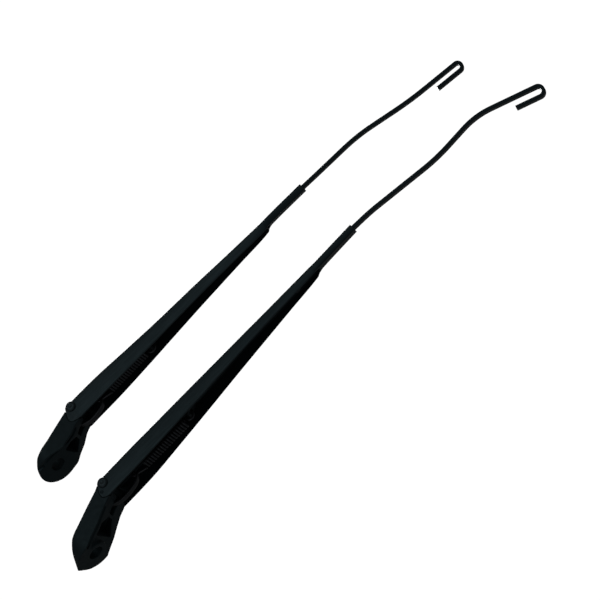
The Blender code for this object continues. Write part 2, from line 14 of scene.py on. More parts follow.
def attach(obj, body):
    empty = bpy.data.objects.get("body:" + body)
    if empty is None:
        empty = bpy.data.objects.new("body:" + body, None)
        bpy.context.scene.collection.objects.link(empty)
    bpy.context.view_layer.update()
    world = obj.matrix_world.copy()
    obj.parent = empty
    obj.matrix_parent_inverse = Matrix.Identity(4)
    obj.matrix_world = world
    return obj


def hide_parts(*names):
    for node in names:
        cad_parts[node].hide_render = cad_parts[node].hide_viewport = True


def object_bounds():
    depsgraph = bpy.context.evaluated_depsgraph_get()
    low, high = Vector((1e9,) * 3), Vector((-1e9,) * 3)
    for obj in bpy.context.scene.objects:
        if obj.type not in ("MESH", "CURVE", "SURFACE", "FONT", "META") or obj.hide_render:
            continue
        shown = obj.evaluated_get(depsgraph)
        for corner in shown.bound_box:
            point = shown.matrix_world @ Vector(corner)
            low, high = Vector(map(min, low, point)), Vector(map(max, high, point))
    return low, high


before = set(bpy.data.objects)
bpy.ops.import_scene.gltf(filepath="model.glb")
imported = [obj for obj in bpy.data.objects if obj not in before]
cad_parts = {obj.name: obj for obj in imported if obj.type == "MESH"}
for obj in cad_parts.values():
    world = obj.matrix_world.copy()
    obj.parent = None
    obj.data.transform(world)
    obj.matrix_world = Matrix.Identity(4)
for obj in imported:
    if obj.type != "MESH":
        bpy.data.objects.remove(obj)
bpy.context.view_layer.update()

MM = 0.001
SHEET = 1.2  # wall of the pressed channel
GAP = 0.3  # clearance between neighbouring pieces
BAR_WIDTH, BAR_THICK = 9.0, 3.0
BAR_EDGE = 0.7  # edge radius of the rolled bar
BAR_DEPTH = SHEET + GAP + BAR_THICK / 2  # from the channel's back to the bar's middle
BACK_ROUND = 2.0  # outside radius along the channel's back
DIMPLE = [(0, 0.66), (0.9, 0.45), (1.5, 0.0), (0.9, -0.45), (0, -0.66)]  # profile of a dimple in a cheek
# Rounded end of the cheeks, as angle and reach about the hinge pin: round the rivet, then down to a corner.
CHEEK = [(90, 5.0), (120, 5.0), (150, 5.0), (180, 5.6), (200, 7.0), (215, 9.6), (226, 11.8), (236, 12.6),
         (252, 12.6), (270, 12.6)]
BACK_START = 4.95  # the channel's back begins this far past the hinge pin
LIP_GAP = 0.8  # between the folded lips under the bar
STATION_STEP, FOLD_STEP = 4.0, 0.7  # distance between the channel's sections, along it and where it folds
RIVET_RADIUS = 3.0
RIVET_HEAD_THICK, RIVET_DISH = 1.5, 0.35  # the dish is left by the peening tool
BUSH_WALL, BUSH_LENGTH = 0.9, 4.5
BUSH_FLANGE, BUSH_FLANGE_RADIUS = 0.8, 4.8
LINK_PIN_RADIUS, LINK_PIN_CHAMFER = 2.0, 0.3
LINK_PIN_COVER = 1.8  # wall of the head over each end of the link pin
LINK_WIDTH, LINK_THICK = 4.4, 1.8
LINK_EDGE = 0.5
LINK_TAB_STRAIGHT = 1.2  # the tab runs straight this far either side of its hole
LINK_HOLE_EASE = 0.1  # lets the curve of the spring's loop through the tab
EYE_RADIUS = LINK_PIN_RADIUS + GAP + LINK_THICK / 2
ROD_RIVET_RADIUS = 1.5
BAR_HOLE_RADIUS = 2.3
BAR_BEND_REACH, BAR_RAMP_REACH = 14.0, 4.0  # how far its corners are rounded, outside and in the channel
HEAD_VOXEL = 0.35  # grain of the cast heads' surface mesh
SOFTEN_ROUNDS = 9  # how often the heads' edges are smoothed
KEPT_FACES = 0.35  # share of the heads' faces kept after that
SHEEN = (0.60, 0.90, 1.0)  # cool tint of the black paints' reflections
FINISH = "_finish"  # a material is named after its slot, with this ending

# "channel" lists x, middle of the bar above the head's underside, width, height, fold and twist in degrees.
# Fold is 0 where the walls stand straight and 1 where they are folded shut under the bar.
# "crease" is the cast groove on the head's underside, inside its near edge: x, y and height.

PASSENGER = {
    "name": "passenger",
    "place": (0.0, 0.0, 0.0),
    "pivot": (38.6, 22.6),
    "rivet_head_radius": 4.1,
    "channel": [(30.0, 23.6, 20.5, 17.1, 0, 0), (48, 23.6, 20.5, 17.0, 0, 0), (64, 23.3, 20.5, 16.7, 0, 0),
                (103, 21.5, 17.8, 14.5, 0, 0), (134, 20.3, 15.3, 12.5, 0, 0), (171, 19.5, 13.4, 10.6, 0, 2),
                (210, 18.1, 12.4, 8.5, 0, 9), (243, 17.2, 12.1, 7.2, 0, 18),
                (246, 17.5, 12.0, 6.1, 0.35, 22), (250, 17.8, 12.0, 6.0, 1, 25),
                (286.5, 16.9, 12.0, 6.0, 1, 25)],
    "link_pin": (33.2, 14.2),
    "link_dip": [(38.5, 7.4), (43.5, 6.3), (50, 6.8), (56, 8.8)],
    "link_tab": (58.5, 16.5),
    "link_hole": 13.4,
    "spring_axis": 15.2,
    "coil_radius": 3.6,
    "wire_radius": 0.95,
    "coil_from": 68.5,
    "coil_to": 109.0,
    "coil_turns": 17.5,
    "bar_end": (113.4, 14.1),
    "bar_rise": 31.0,
    "bar_hole_from_end": 4.5,
    "rod_bends": [(301, -0.7), (344.5, -2.4), (393, -12.9), (437.7, -18.2)],
    "hook_radius": 3.3,
    "hook_return": 22.5,
    "rod_rivet": 226.0,
    "crease": [(-9, -10.2, 1.8), (-4, -11.8, 2.1), (3, -12.2, 2.1), (10, -11.6, 1.8), (17, -10.9, 1.9),
               (25, -9.4, 4.2), (30, -8.5, 7.0)],
    "crease_radius": 1.3,
    "cheek_dimples": [],
}

DRIVER = {
    "name": "driver",
    "place": (-35.7, 127.7, 0.0),
    "pivot": (43.4, 32.8),
    "rivet_head_radius": 4.4,
    "channel": [(33.8, 34.5, 29.2, 17.1, 0, 0), (55, 34.6, 29.2, 17.1, 0, 0), (71, 34.8, 29.0, 17.0, 0, 0),
                (111, 35.6, 25.8, 15.5, 0, 0), (144, 36.3, 22.8, 13.9, 0, 0), (176, 36.9, 20.1, 12.0, 0, 0),
                (208, 37.4, 17.5, 10.2, 0, 0), (248, 38.2, 14.4, 8.4, 0, 3), (281, 38.9, 12.4, 7.0, 0, 8),
                (285, 39.2, 12.1, 6.1, 0.35, 13), (290, 39.5, 12.0, 6.0, 1, 18),
                (329, 40.4, 12.0, 6.0, 1, 20)],
    "link_pin": (36.5, 23.6),
    "link_dip": [(41.5, 18.0), (46.5, 16.9), (55, 17.4), (62.5, 19.5)],
    "link_tab": (66.5, 27.8),
    "link_hole": 24.4,
    "spring_axis": 26.3,
    "coil_radius": 3.9,
    "wire_radius": 1.0,
    "coil_from": 76.0,
    "coil_to": 124.0,
    "coil_turns": 18.5,
    "bar_end": (128.8, 27.9),
    "bar_rise": 31.0,
    "bar_hole_from_end": 4.5,
    "rod_bends": [(331, 0.0), (348, -0.8), (415.5, -9.4), (461.5, -7.7), (511.9, -26.9)],
    "hook_radius": 4.4,
    "hook_return": 21.5,
    "rod_rivet": 262.0,
    "crease": [(-2, -15.4, -0.6), (4, -15.5, 1.3), (12, -14.7, 5.3), (20, -13.9, 9.4), (28, -13.1, 14.1),
               (32, -12.7, 16.4)],
    "crease_radius": 1.15,
    "cheek_dimples": [(37.8, 27.2)],
}

# ---- Mesh helpers ----------------------------------------------------------------------------------------


def new_object(name, mesh, arm):
    """An object that holds a mesh drawn in an arm's own frame, put where that arm stands."""
    obj = bpy.data.objects.new(name, mesh)
    obj.location = Vector(arm["place"]) * MM
    bpy.context.scene.collection.objects.link(obj)
    return obj


def mesh_from(bm, name):
    """A mesh with its faces turned outward, made from a bmesh that is freed."""
    bmesh.ops.recalc_face_normals(bm, faces=bm.faces)
    mesh = bpy.data.meshes.new(name)
    bm.to_mesh(mesh)
    bm.free()
    return mesh


def loft_mesh(sections):
    """A solid through closed sections of equal point counts, with flat ends."""
    bm = bmesh.new()
    rings = [[bm.verts.new(Vector(point) * MM) for point in section] for section in sections]
    for ring, following in zip(rings, rings[1:]):
        for i, vert in enumerate(ring):
            j = (i + 1) % len(ring)
            bm.faces.new((vert, ring[j], following[j], following[i]))
    ends = [bm.faces.new(rings[0]), bm.faces.new(rings[-1])]
    for end in ends:
        end.normal_update()
    bmesh.ops.triangulate(bm, faces=ends)
    return mesh_from(bm, "loft")


def arc(centre, radius, start, end, steps):
    """Points on a circle in a plane, from one angle in degrees to another."""
    angles = [math.radians(start + (end - start) * k / steps) for k in range(steps + 1)]
    return [(centre[0] + radius * math.cos(a), centre[1] + radius * math.sin(a)) for a in angles]


def polar(centre, angle, reach):
    """The point at an angle in degrees and a reach from a centre."""
    turn = math.radians(angle)
    return (centre[0] + reach * math.cos(turn), centre[1] + reach * math.sin(turn))


def smooth_path(points, steps):
    """A Catmull-Rom curve through the points, with its ends kept."""
    padded = [points[0], *points, points[-1]]
    out = []
    for a, b, c, d in zip(padded, padded[1:], padded[2:], padded[3:]):
        for k in range(steps):
            t = k / steps
            out.append(tuple(
                0.5 * (2 * q + (r - p) * t + (2 * p - 5 * q + 4 * r - s) * t * t
                       + (3 * q - p - 3 * r + s) * t ** 3)
                for p, q, r, s in zip(a, b, c, d)))
    return out + [points[-1]]


def spaced(start, end, step):
    """Even values from start to end, about a step apart, both ends included."""
    count = max(2, round((end - start) / step) + 1)
    return [start + (end - start) * k / (count - 1) for k in range(count)]


def bent(points, reach, steps):
    """A line through points with every inner corner rounded, up to a reach either side of it."""
    out = [points[0]]
    for before, here, after in zip(points, points[1:], points[2:]):
        a, b, c = Vector(before), Vector(here), Vector(after)
        leg = min(reach, (b - a).length * 0.45, (c - b).length * 0.45)
        start, end = b + (a - b).normalized() * leg, b + (c - b).normalized() * leg
        for k in range(steps + 1):
            t = k / steps
            out.append(tuple(start * (1 - t) ** 2 + b * 2 * t * (1 - t) + end * t * t))
    return out + [points[-1]]


def strip_sections(path, width, thick, edge, place):
    """Sections of a flat strip with round edges that follows a path; place maps x, across, up."""
    half_w, half_t = width / 2 - edge, thick / 2 - edge
    profile = (arc((half_w, half_t), edge, 90, 0, 4) + arc((half_w, -half_t), edge, 0, -90, 4)
               + arc((-half_w, -half_t), edge, 270, 180, 4) + arc((-half_w, half_t), edge, 180, 90, 4))
    sections = []
    for i, (x, up) in enumerate(path):
        before, after = path[max(i - 1, 0)], path[min(i + 1, len(path) - 1)]
        along = Vector((after[0] - before[0], after[1] - before[1])).normalized()
        sections.append([place(x - along.y * t, across, up + along.x * t) for across, t in profile])
    return sections


def tube_mesh(points, radius, sides):
    """A round wire along points in mm, its section carried along without twist, with closed ends."""
    path = [Vector(point) for point in points]
    tangents = []
    for i in range(len(path)):
        tangents.append((path[min(i + 1, len(path) - 1)] - path[max(i - 1, 0)]).normalized())
    side = tangents[0].orthogonal().normalized()
    sections = []
    for point, tangent in zip(path, tangents):
        side = (side - tangent * side.dot(tangent)).normalized()
        other = tangent.cross(side)
        ring = [point + (side * math.cos(a) + other * math.sin(a)) * radius
                for a in (2 * math.pi * k / sides for k in range(sides))]
        sections.append(ring)
    return loft_mesh(sections)


def turned_mesh(profile, turn, sides=48):
    """A turned solid: its profile of (radius, height), in mm, about the turn's own Z axis."""
    bm = bmesh.new()
    rings = []
    for radius, height in profile:
        if radius < 1e-6:
            rings.append([bm.verts.new((0, 0, height * MM))])
        else:
            rings.append([bm.verts.new((radius * MM * math.cos(a), radius * MM * math.sin(a), height * MM))
                          for a in (2 * math.pi * k / sides for k in range(sides))])
    closed = profile[0][0] > 1e-6
    pairs = list(zip(rings, rings[1:])) + ([(rings[-1], rings[0])] if closed else [])
    for low, high in pairs:
        for k in range(sides):
            j = (k + 1) % sides
            corners = [low[k % len(low)], low[j % len(low)], high[j % len(high)], high[k % len(high)]]
            bm.faces.new(list(dict.fromkeys(corners)))
    mesh = mesh_from(bm, "turned")
    mesh.transform(turn)
    return mesh


def cross_turn(x, z, y=0.0):
    """Places a Z-axis shape across the arm, along Y, at x and z."""
    return Matrix.Translation(Vector((x, y, z)) * MM) @ Matrix.Rotation(math.radians(-90), 4, "X")


def cylinder(radius, length, turn, sides=48):
    """A cylinder about the turn's own Z axis, centred on it."""
    return turned_mesh([(0, length / 2), (radius, length / 2), (radius, -length / 2), (0, -length / 2)],
                       turn, sides)


def side_plate(points, thickness):
    """An outline drawn in the arm's side view (x, z), centred across the arm."""
    sections = [[(x, y, z) for x, z in points] for y in (-thickness / 2, thickness / 2)]
    return loft_mesh(sections)


def cut(obj, mesh, arm):
    """Cuts a shape out of an object; the cut stays as a modifier until the object is baked."""
    cutter = new_object("cutter", mesh, arm)
    modifier = obj.modifiers.new("cut", "BOOLEAN")
    modifier.object = cutter
    modifier.solver = "EXACT"
    return cutter


def baked(obj, cutters=()):
    """Replaces an object's mesh by what its modifiers make of it, and removes the cutters."""
    bpy.context.view_layer.update()
    mesh = bpy.data.meshes.new_from_object(obj.evaluated_get(bpy.context.evaluated_depsgraph_get()))
    mesh.name = obj.name
    obj.modifiers.clear()
    obj.data = mesh
    for cutter in cutters:
        bpy.data.objects.remove(cutter, do_unlink=True)


def finish_piece(obj, material, body, node, angle=35):
    """Shades and paints a finished piece, and has it stand for its CAD node and ride on its body."""
    obj.data.materials.clear()
    obj.data.materials.append(material)
    obj.data.shade_smooth()
    if angle:
        obj.data.set_sharp_from_angle(angle=math.radians(angle))
    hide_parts(node)
    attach(obj, body)


# ---- Materials -------------------------------------------------------------------------------------------


class Surface:
    """A Principled material with its texture nodes, all read in the piece's own coordinates."""

    def __init__(self, slot, roughness, metallic, specular, tint=(1.0, 1.0, 1.0)):
        self.material = bpy.data.materials.new(slot + FINISH)
        self.material.use_nodes = True
        self.tree = self.material.node_tree
        self.shader = self.tree.nodes["Principled BSDF"]
        self.shader.inputs["Roughness"].default_value = roughness
        self.shader.inputs["Metallic"].default_value = metallic
        self.shader.inputs["Specular IOR Level"].default_value = specular
        self.shader.inputs["Specular Tint"].default_value = (*tint, 1.0)
        self.place = self.tree.nodes.new("ShaderNodeTexCoord").outputs["Object"]

    def node(self, kind, **settings):
        """Adds a node with the settings given."""
        node = self.tree.nodes.new(kind)
        for key, value in settings.items():
            setattr(node, key, value)
        return node

    def stretched(self, scale):
        """The piece's own coordinates, scaled along each axis."""
        mapping = self.node("ShaderNodeMapping")
        mapping.inputs["Scale"].default_value = scale
        self.tree.links.new(self.place, mapping.inputs["Vector"])
        return mapping.outputs["Vector"]

    def noise(self, scale, detail=3.0, vector=None):
        """Noise of a scale per metre, in the piece's own coordinates unless others are given."""
        node = self.node("ShaderNodeTexNoise")
        node.inputs["Scale"].default_value = scale
        node.inputs["Detail"].default_value = detail
        self.tree.links.new(vector or self.place, node.inputs["Vector"])
        return node.outputs["Fac"]

    def ramp(self, value, low, high, start, end):
        """Maps a value from low..high to start..end, held within those limits."""
        node = self.node("ShaderNodeMapRange")
        for key, number in (("From Min", low), ("From Max", high), ("To Min", start), ("To Max", end)):
            node.inputs[key].default_value = number
        self.tree.links.new(value, node.inputs["Value"])
        return node.outputs["Result"]

    def mix(self, factor, first, second):
        """Colour between two colours, or between another mix and a colour."""
        node = self.node("ShaderNodeMix", data_type="RGBA")
        for key, colour in ((6, first), (7, second)):
            if isinstance(colour, tuple):
                node.inputs[key].default_value = (*colour, 1.0)
            else:
                self.tree.links.new(colour, node.inputs[key])
        self.tree.links.new(factor, node.inputs[0])
        return node.outputs[2]

    def edges(self, low, high):
        """1 along worn outer edges and 0 elsewhere."""
        return self.ramp(self.node("ShaderNodeNewGeometry").outputs["Pointiness"], low, high, 0.0, 1.0)

    def times(self, first, second):
        """The product of two outputs."""
        node = self.node("ShaderNodeMath", operation="MULTIPLY")
        self.tree.links.new(first, node.inputs[0])
        self.tree.links.new(second, node.inputs[1])
        return node.outputs["Value"]

    def set(self, socket, output):
        """Feeds an output to a socket of the shader."""
        self.tree.links.new(output, self.shader.inputs[socket])

    def bump(self, *heights):
        """Stacks bump layers of (height output, strength, distance in mm)."""
        normal = None
        for height, strength, distance in heights:
            node = self.node("ShaderNodeBump")
            node.inputs["Strength"].default_value = strength
            node.inputs["Distance"].default_value = distance * MM
            self.tree.links.new(height, node.inputs["Height"])
            if normal:
                self.tree.links.new(normal, node.inputs["Normal"])
            normal = node.outputs["Normal"]
        self.set("Normal", normal)


def cast_black():
    """Powder coat over die-cast zinc: fine grain, broad waves, slightly rubbed edges."""
    s = Surface("cast_black", 0.5, 0.0, 0.34, SHEEN)
    colour = s.mix(s.noise(60, 4), (0.0042, 0.0080, 0.0100), (0.0070, 0.0116, 0.0138))
    rubbed = s.times(s.edges(0.53, 0.60), s.ramp(s.noise(400), 0.42, 0.62, 0.0, 0.8))
    s.set("Base Color", s.mix(rubbed, colour, (0.013, 0.016, 0.018)))
    s.set("Roughness", s.ramp(s.noise(220, 5), 0.3, 0.7, 0.44, 0.60))
    s.bump((s.noise(2400, 2), 0.35, 0.05), (s.noise(320, 2), 0.25, 0.12))
    return s.material


def pressed_black():
    """Satin paint over pressed steel: orange peel, faint marks along the arm, rubbed sheet edges."""
    s = Surface("pressed_black", 0.4, 0.0, 0.40, SHEEN)
    colour = s.mix(s.noise(45, 4), (0.0040, 0.0074, 0.0094), (0.0066, 0.0106, 0.0130))
    rubbed = s.times(s.edges(0.54, 0.62), s.ramp(s.noise(350), 0.45, 0.62, 0.0, 0.7))
    s.set("Base Color", s.mix(rubbed, colour, (0.026, 0.029, 0.031)))
    marks = s.noise(900, 3, s.stretched((0.06, 1.0, 1.0)))
    s.set("Roughness", s.ramp(marks, 0.35, 0.68, 0.36, 0.50))
    s.bump((s.noise(1300, 2), 0.22, 0.05), (marks, 0.08, 0.03))
    return s.material


def rivet_black():
    """Blackened rivets with rings left by the peening tool and rubbed crowns."""
    s = Surface("rivet_black", 0.4, 0.0, 0.5, SHEEN)
    colour = s.mix(s.noise(300, 4), (0.0075, 0.0090, 0.0100), (0.0125, 0.0145, 0.0155))
    rubbed = s.times(s.edges(0.52, 0.58), s.ramp(s.noise(900), 0.4, 0.6, 0.0, 0.9))
    s.set("Base Color", s.mix(rubbed, colour, (0.05, 0.054, 0.058)))
    s.set("Roughness", s.ramp(s.noise(1200, 3), 0.3, 0.7, 0.32, 0.52))
    s.bump((s.noise(1800, 3), 0.3, 0.05))
    return s.material


def spring_steel():
    """Oil-blackened spring steel: fine drawn marks, darker where the oxide is thick."""
    s = Surface("spring_steel", 0.36, 0.75, 0.5)
    s.set("Base Color", s.mix(s.noise(260, 4), (0.020, 0.023, 0.027), (0.052, 0.057, 0.064)))
    s.set("Roughness", s.ramp(s.noise(700, 4), 0.3, 0.7, 0.30, 0.48))
    s.bump((s.noise(3000, 2), 0.25, 0.03))
    return s.material


def nylon_black():
    """Moulded nylon: matt and slightly mottled."""
    s = Surface("nylon_black", 0.6, 0.0, 0.4)
    s.set("Base Color", s.mix(s.noise(500, 3), (0.012, 0.012, 0.013), (0.020, 0.020, 0.021)))
    s.set("Roughness", s.ramp(s.noise(900, 3), 0.3, 0.7, 0.52, 0.68))
    s.bump((s.noise(2600, 2), 0.3, 0.03))
    return s.material


# ---- Shape of an arm along its length --------------------------------------------------------------------


def station(arm, x):
    """Bar height, width, height, fold and twist of the channel at x, on a smooth curve."""
    rows = arm["channel"]
    if x <= rows[0][0]:
        return rows[0][1:]
    if x >= rows[-1][0]:
        return rows[-1][1:]
    i = next(k for k in range(len(rows) - 1) if x <= rows[k + 1][0])
    low, high = rows[i], rows[i + 1]
    span = high[0] - low[0]
    t = (x - low[0]) / span
    values = []
    for k in range(1, 6):
        slope = (high[k] - low[k]) / span
        before = (low[k] - rows[i - 1][k]) / (low[0] - rows[i - 1][0]) if i else slope
        after = (rows[i + 2][k] - high[k]) / (rows[i + 2][0] - high[0]) if i + 2 < len(rows) else slope
        leave = gentle(before, slope) * span
        arrive = gentle(slope, after) * span
        rise = high[k] - low[k]
        values.append(low[k] + leave * t + (3 * rise - 2 * leave - arrive) * t * t
                      + (leave + arrive - 2 * rise) * t ** 3)
    return tuple(values)


def gentle(before, after):
    """Slope at a station: the harmonic mean of its neighbours, which never overshoots."""
    return 2 * before * after / (before + after) if before * after > 0 else 0.0


def arm_point(arm, x, across, up):
    """A point beside the bar's middle line, turned with the twist of the arm at x."""
    bar_height, _, _, _, twist = station(arm, x)
    turn = math.radians(twist)
    return (x, across * math.cos(turn) - up * math.sin(turn),
            bar_height + across * math.sin(turn) + up * math.cos(turn))


def channel_section(arm, x):
    """Closed outline of the pressed channel at x: outer face, then inner face, with rounded lips."""
    _, width, height, fold, _ = station(arm, x)
    half, top, bottom = width / 2, BAR_DEPTH, BAR_DEPTH - height
    tuck = fold * (half - LIP_GAP / 2)

    def face(inset):
        """The outer face, or the inner one at a depth, from lip to lip over the back."""
        side, ceiling, floor = half - inset, top - inset, bottom
        radius = BACK_ROUND - inset * 0.8
        heel = 0.35 + 0.55 * fold
        if inset:
            floor = bottom + max(inset * fold, 0.03)
            heel = 0.02 + 0.28 * fold
        lip = max(side - heel - 0.02 - tuck, LIP_GAP / 2)
        wall = [(lip, floor)] + arc((side - heel, floor + heel), heel, -90, 0, 4)
        right = wall + arc((side - radius, ceiling - radius), radius, 0, 90, 6)
        return right + [(-across, up) for across, up in reversed(right)]

    outline = face(0.0) + face(SHEET)[::-1]
    return [arm_point(arm, x, across, up) for across, up in outline]


def rod_path(arm):
    """Middle line of the flat bar in its bending plane: x and distance from the channel's bar line."""
    end_x, end_z = arm["bar_end"]
    rise = math.tan(math.radians(arm["bar_rise"]))
    start_up = end_z - station(arm, end_x)[0]
    level_x = end_x - start_up / rise
    first_x, first_up = arm["rod_bends"][0]
    sleeve_end = arm["channel"][-1][0]
    ramp = bent([(end_x, start_up), (level_x, 0.0), (level_x + 12, 0.0)], BAR_RAMP_REACH, 6)
    inside = [(x, 0.0) for x in spaced(level_x + 15, sleeve_end, 3.0)]
    outer = bent(arm["rod_bends"], BAR_BEND_REACH, 10)
    hook_x, hook_up = outer[-1]
    before_x, before_up = outer[-2]
    lean = math.degrees(math.atan2(hook_up - before_up, hook_x - before_x))
    radius = arm["hook_radius"]
    turn = math.radians(lean)
    centre = (hook_x + radius * math.sin(turn), hook_up - radius * math.cos(turn))
    bend = arc(centre, radius, 90 + lean, lean - 90, 24)
    tail_x, tail_up = bend[-1]
    length = arm["hook_return"]
    tail = [(tail_x - length * s * math.cos(turn), tail_up - length * s * math.sin(turn))
            for s in (0.25, 0.5, 0.75, 1)]
    start = [(first_x, first_up)] if first_x > inside[-1][0] + 4 else []
    straight = []
    for (x0, up0), (x1, up1) in zip(outer[1:-1], outer[2:]):
        count = max(1, round(math.dist((x0, up0), (x1, up1)) / 5))
        straight += [(x0 + (x1 - x0) * k / count, up0 + (up1 - up0) * k / count) for k in range(count)]
    return ramp + inside + start + straight + bend + tail


def bar_hole(arm):
    """Middle of the hole in the bar's inner end, which takes the spring's upper hook."""
    rise = math.radians(arm["bar_rise"])
    reach = arm["bar_hole_from_end"]
    return (arm["bar_end"][0] + reach * math.cos(rise), arm["bar_end"][1] + reach * math.sin(rise))


def rod_rivet_turn(arm):
    """Places a Z-axis shape on the bar's middle line at the rod rivet, square to the bar."""
    bar_height, _, _, _, twist = station(arm, arm["rod_rivet"])
    middle = Vector((arm["rod_rivet"], 0, bar_height)) * MM
    return Matrix.Translation(middle) @ Matrix.Rotation(math.radians(twist), 4, "X")


def head_width(arm):
    """Outside width of the channel's cheeks, which is the head's width too."""
    return arm["channel"][0][2]


def tongue_width(arm):
    """Width of the head between the two bush flanges."""
    return head_width(arm) - 2 * (SHEET + BUSH_FLANGE + 2 * GAP)


# ---- The pieces of an arm --------------------------------------------------------------------------------


def make_head(arm, material):
    """The cast head: its CAD solid with the flank's groove, given soft cast edges by a fine remesh."""
    node = arm["name"] + "_head"
    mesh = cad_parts[node].data.copy()
    bm = bmesh.new()
    bm.from_mesh(mesh)
    bmesh.ops.remove_doubles(bm, verts=bm.verts, dist=1e-6)
    bm.to_mesh(mesh)
    bm.free()
    head = bpy.data.objects.new(arm["name"] + "_cast_head", mesh)
    bpy.context.scene.collection.objects.link(head)
    crease = cut(head, tube_mesh(smooth_path(arm["crease"], 6), arm["crease_radius"], 16), arm)
    remesh = head.modifiers.new("cast_skin", "REMESH")
    remesh.mode = "VOXEL"
    remesh.voxel_size = HEAD_VOXEL * MM
    soften = head.modifiers.new("soft_edges", "SMOOTH")
    soften.factor = 0.5
    soften.iterations = SOFTEN_ROUNDS
    thin = head.modifiers.new("thin_out", "DECIMATE")
    thin.ratio = KEPT_FACES
    baked(head, [crease])
    finish_piece(head, material, "heads", node, angle=None)


def make_channel(arm, material):
    """The pressed channel, with rounded cheeks, rolled lips and its walls folded shut round the bar."""
    name = arm["name"]
    pivot_x, pivot_z = arm["pivot"]
    first, last = arm["channel"][0][0], arm["channel"][-1][0]
    fold_from, fold_to = arm["channel"][-4][0], arm["channel"][-2][0]
    stations = (spaced(first, fold_from, STATION_STEP) + spaced(fold_from, fold_to, FOLD_STEP)[1:]
                + spaced(fold_to, last, STATION_STEP)[1:])
    channel = new_object(name + "_pressed_channel",
                         loft_mesh([channel_section(arm, x) for x in stations]), arm)
    width = head_width(arm)
    # The back is cut away over the hinge, and the cheeks' ends are cut round about the rivet.
    back = [(pivot_x - 14, pivot_z + 1.0), (pivot_x + BACK_START, pivot_z + 1.0),
            (pivot_x + BACK_START, pivot_z + 14), (pivot_x - 14, pivot_z + 14)]
    round_end = [(pivot_x, pivot_z + 20), (pivot_x - 16, pivot_z + 20), (pivot_x - 16, pivot_z - 20),
                 (pivot_x, pivot_z - 20),
                 *[polar(arm["pivot"], *end) for end in smooth_path(CHEEK[::-1], 5)]]
    cutters = [cut(channel, side_plate(back, width - 2 * SHEET + 0.02), arm),
               cut(channel, side_plate(round_end, width + 10), arm),
               cut(channel, cylinder(RIVET_RADIUS + GAP, 60, cross_turn(pivot_x, pivot_z)), arm),
               cut(channel, cylinder(ROD_RIVET_RADIUS + GAP, 14, rod_rivet_turn(arm), 24), arm)]
    for x, z in arm["cheek_dimples"]:
        for side in (-1, 1):
            dent = turned_mesh(DIMPLE, cross_turn(x, z, side * width / 2), 24)
            cutters.append(cut(channel, dent, arm))
    baked(channel, cutters)
    finish_piece(channel, material, name + "_arm", name + "_channel", angle=32)


def make_rod(arm, material):
    """The flat bar, from its drilled inner end through the bends to the blade hook."""
    name = arm["name"]
    sections = strip_sections(rod_path(arm), BAR_WIDTH, BAR_THICK, BAR_EDGE,
                              lambda x, across, up: arm_point(arm, x, across, up))
    bar = new_object(name + "_flat_bar", loft_mesh(sections), arm)
    hole_x, hole_z = bar_hole(arm)
    turn = Matrix.Translation(Vector((hole_x, 0, hole_z)) * MM) \
        @ Matrix.Rotation(-math.radians(arm["bar_rise"]), 4, "Y")
    cutters = [cut(bar, cylinder(BAR_HOLE_RADIUS, 12, turn, 32), arm),
               cut(bar, cylinder(ROD_RIVET_RADIUS + GAP, 14, rod_rivet_turn(arm), 24), arm)]
    baked(bar, cutters)
    finish_piece(bar, material, name + "_arm", name + "_rod", angle=40)


def make_hinge(arm, rivet_material, bush_material):
    """The hinge rivet, domed and dished by its peening tool, and its two flanged bushes."""
    name = arm["name"]
    turn = cross_turn(*arm["pivot"])
    outside = head_width(arm) / 2 + GAP
    reach = arm["rivet_head_radius"]
    rim = 0.35
    top = outside + RIVET_HEAD_THICK
    dome = [(0.0, top - RIVET_DISH), (reach * 0.28, top - 0.30), (reach * 0.38, top - 0.02),
            (reach * 0.46, top)]
    dome += [(reach * (0.46 + 0.54 * math.sin(a)), top - (RIVET_HEAD_THICK - rim) * (1 - math.cos(a)))
             for a in (math.radians(d) for d in (20, 40, 60, 75, 90))]
    half = dome + [(reach, outside + 0.15), (reach - 0.15, outside), (RIVET_RADIUS, outside)]
    profile = half + [(radius, -height) for radius, height in reversed(half)]
    rivet = new_object(name + "_peened_rivet", turned_mesh(profile, turn), arm)
    finish_piece(rivet, rivet_material, name + "_arm", name + "_hinge_rivet", angle=40)

    inner, outer = RIVET_RADIUS + GAP, RIVET_RADIUS + GAP + BUSH_WALL
    flange, seat, edge = BUSH_FLANGE_RADIUS, tongue_width(arm) / 2 + GAP, 0.15
    for side, sign in (("near", 1), ("far", -1)):
        ring = [(inner, seat + BUSH_FLANGE - edge), (inner + edge, seat + BUSH_FLANGE),
                (flange - edge, seat + BUSH_FLANGE), (flange, seat + BUSH_FLANGE - edge),
                (flange, seat + edge), (flange - edge, seat), (outer, seat),
                (outer, seat - BUSH_LENGTH + 0.4), (outer - 0.3, seat - BUSH_LENGTH),
                (inner, seat - BUSH_LENGTH)]
        flip = Matrix.Rotation(math.pi if sign > 0 else 0, 4, "X")
        bush = new_object(f"{name}_flanged_bush_{side}", turned_mesh(ring, turn @ flip), arm)
        finish_piece(bush, bush_material, "heads", f"{name}_hinge_bush_{side}", angle=40)


